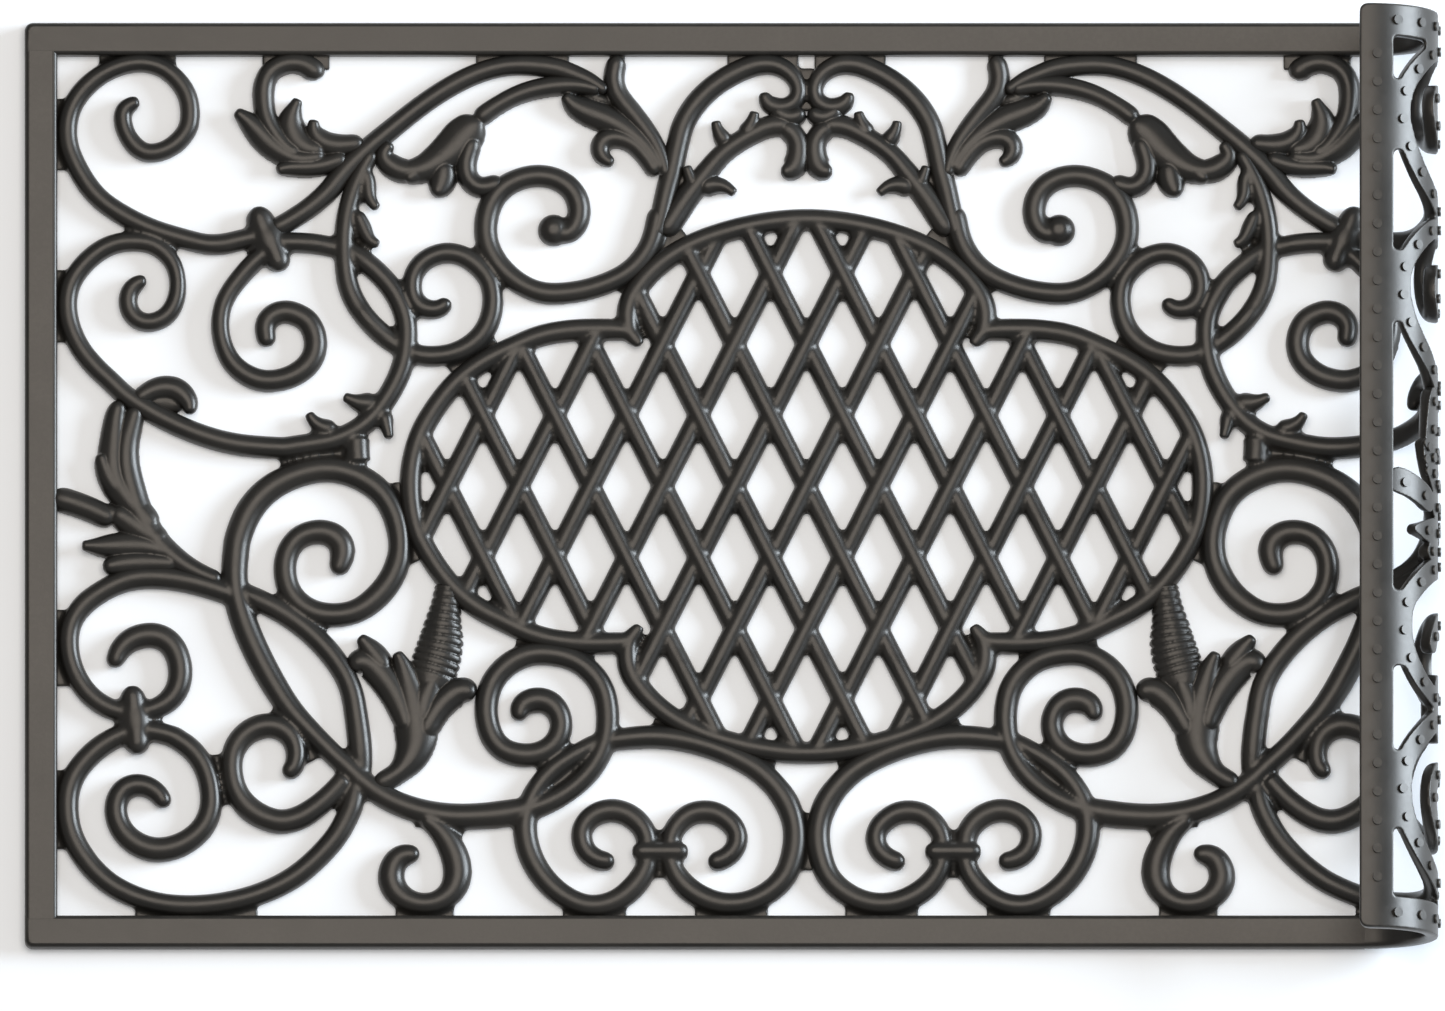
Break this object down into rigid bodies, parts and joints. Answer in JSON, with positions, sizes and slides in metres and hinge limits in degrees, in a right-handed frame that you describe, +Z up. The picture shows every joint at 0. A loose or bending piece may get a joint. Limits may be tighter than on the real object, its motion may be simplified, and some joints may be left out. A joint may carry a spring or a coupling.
{
  "type": "rubber door mat",
  "caption": "Moulded rubber openwork door mat with scrollwork, a lattice medallion and plain rails, one end rolled over on itself.",
  "frame": {"origin": "on the floor plane, below the middle of the medallion, which is the middle of the mat when it is laid flat", "axes": "+X along the mat towards the rolled end, +Y across it towards the back rail, +Z up from the floor"},
  "size_m": [0.6903, 0.456, 0.0743],
  "materials": {
    "rubber": "satin black moulded rubber with a faint brown cast"
  },
  "bodies": {
    "root": {"front_rail": "rubber", "back_rail": "rubber", "left_rail": "rubber", "right_rail": "rubber", "front_rail_curl": "rubber", "back_rail_curl": "rubber", "ring_left": "rubber", "ring_right": "rubber", "ring_back": "rubber", "ring_front": "rubber", "lattice_rising_bars": "rubber", "lattice_falling_bars": "rubber", "left_arch_stem": "rubber", "left_bow_scroll": "rubber", "left_bridge_arch": "rubber", "left_bud": "rubber", "left_centre_arch": "rubber", "left_centre_scroll": "rubber", "left_collars": "rubber", "left_corner_leaf": "rubber", "left_corner_scroll": "rubber", "left_drop_scroll": "rubber", "left_flower": "rubber", "left_foot_scroll": "rubber", "left_front_corner_scroll": "rubber", "left_front_scroll": "rubber", "left_hook_scroll": "rubber", "left_inner_loop": "rubber", "left_large_scroll": "rubber", "left_middle_leaf": "rubber", "left_rail_scroll": "rubber", "left_side_leaf": "rubber", "left_side_scroll": "rubber", "left_small_scroll": "rubber", "left_sprig": "rubber", "left_webs": "rubber", "right_arch_stem": "rubber", "right_bow_scroll": "rubber", "right_bridge_arch": "rubber", "right_bud": "rubber", "right_centre_arch": "rubber", "right_centre_scroll": "rubber", "right_collars": "rubber", "right_corner_leaf": "rubber", "right_corner_scroll": "rubber", "right_drop_scroll": "rubber", "right_flower": "rubber", "right_foot_scroll": "rubber", "right_front_corner_scroll": "rubber", "right_front_scroll": "rubber", "right_hook_scroll": "rubber", "right_inner_loop": "rubber", "right_large_scroll": "rubber", "right_middle_leaf": "rubber", "right_rail_scroll": "rubber", "right_side_leaf": "rubber", "right_side_scroll": "rubber", "right_small_scroll": "rubber", "right_sprig": "rubber", "right_webs": "rubber"}
  },
  "joints": []
}
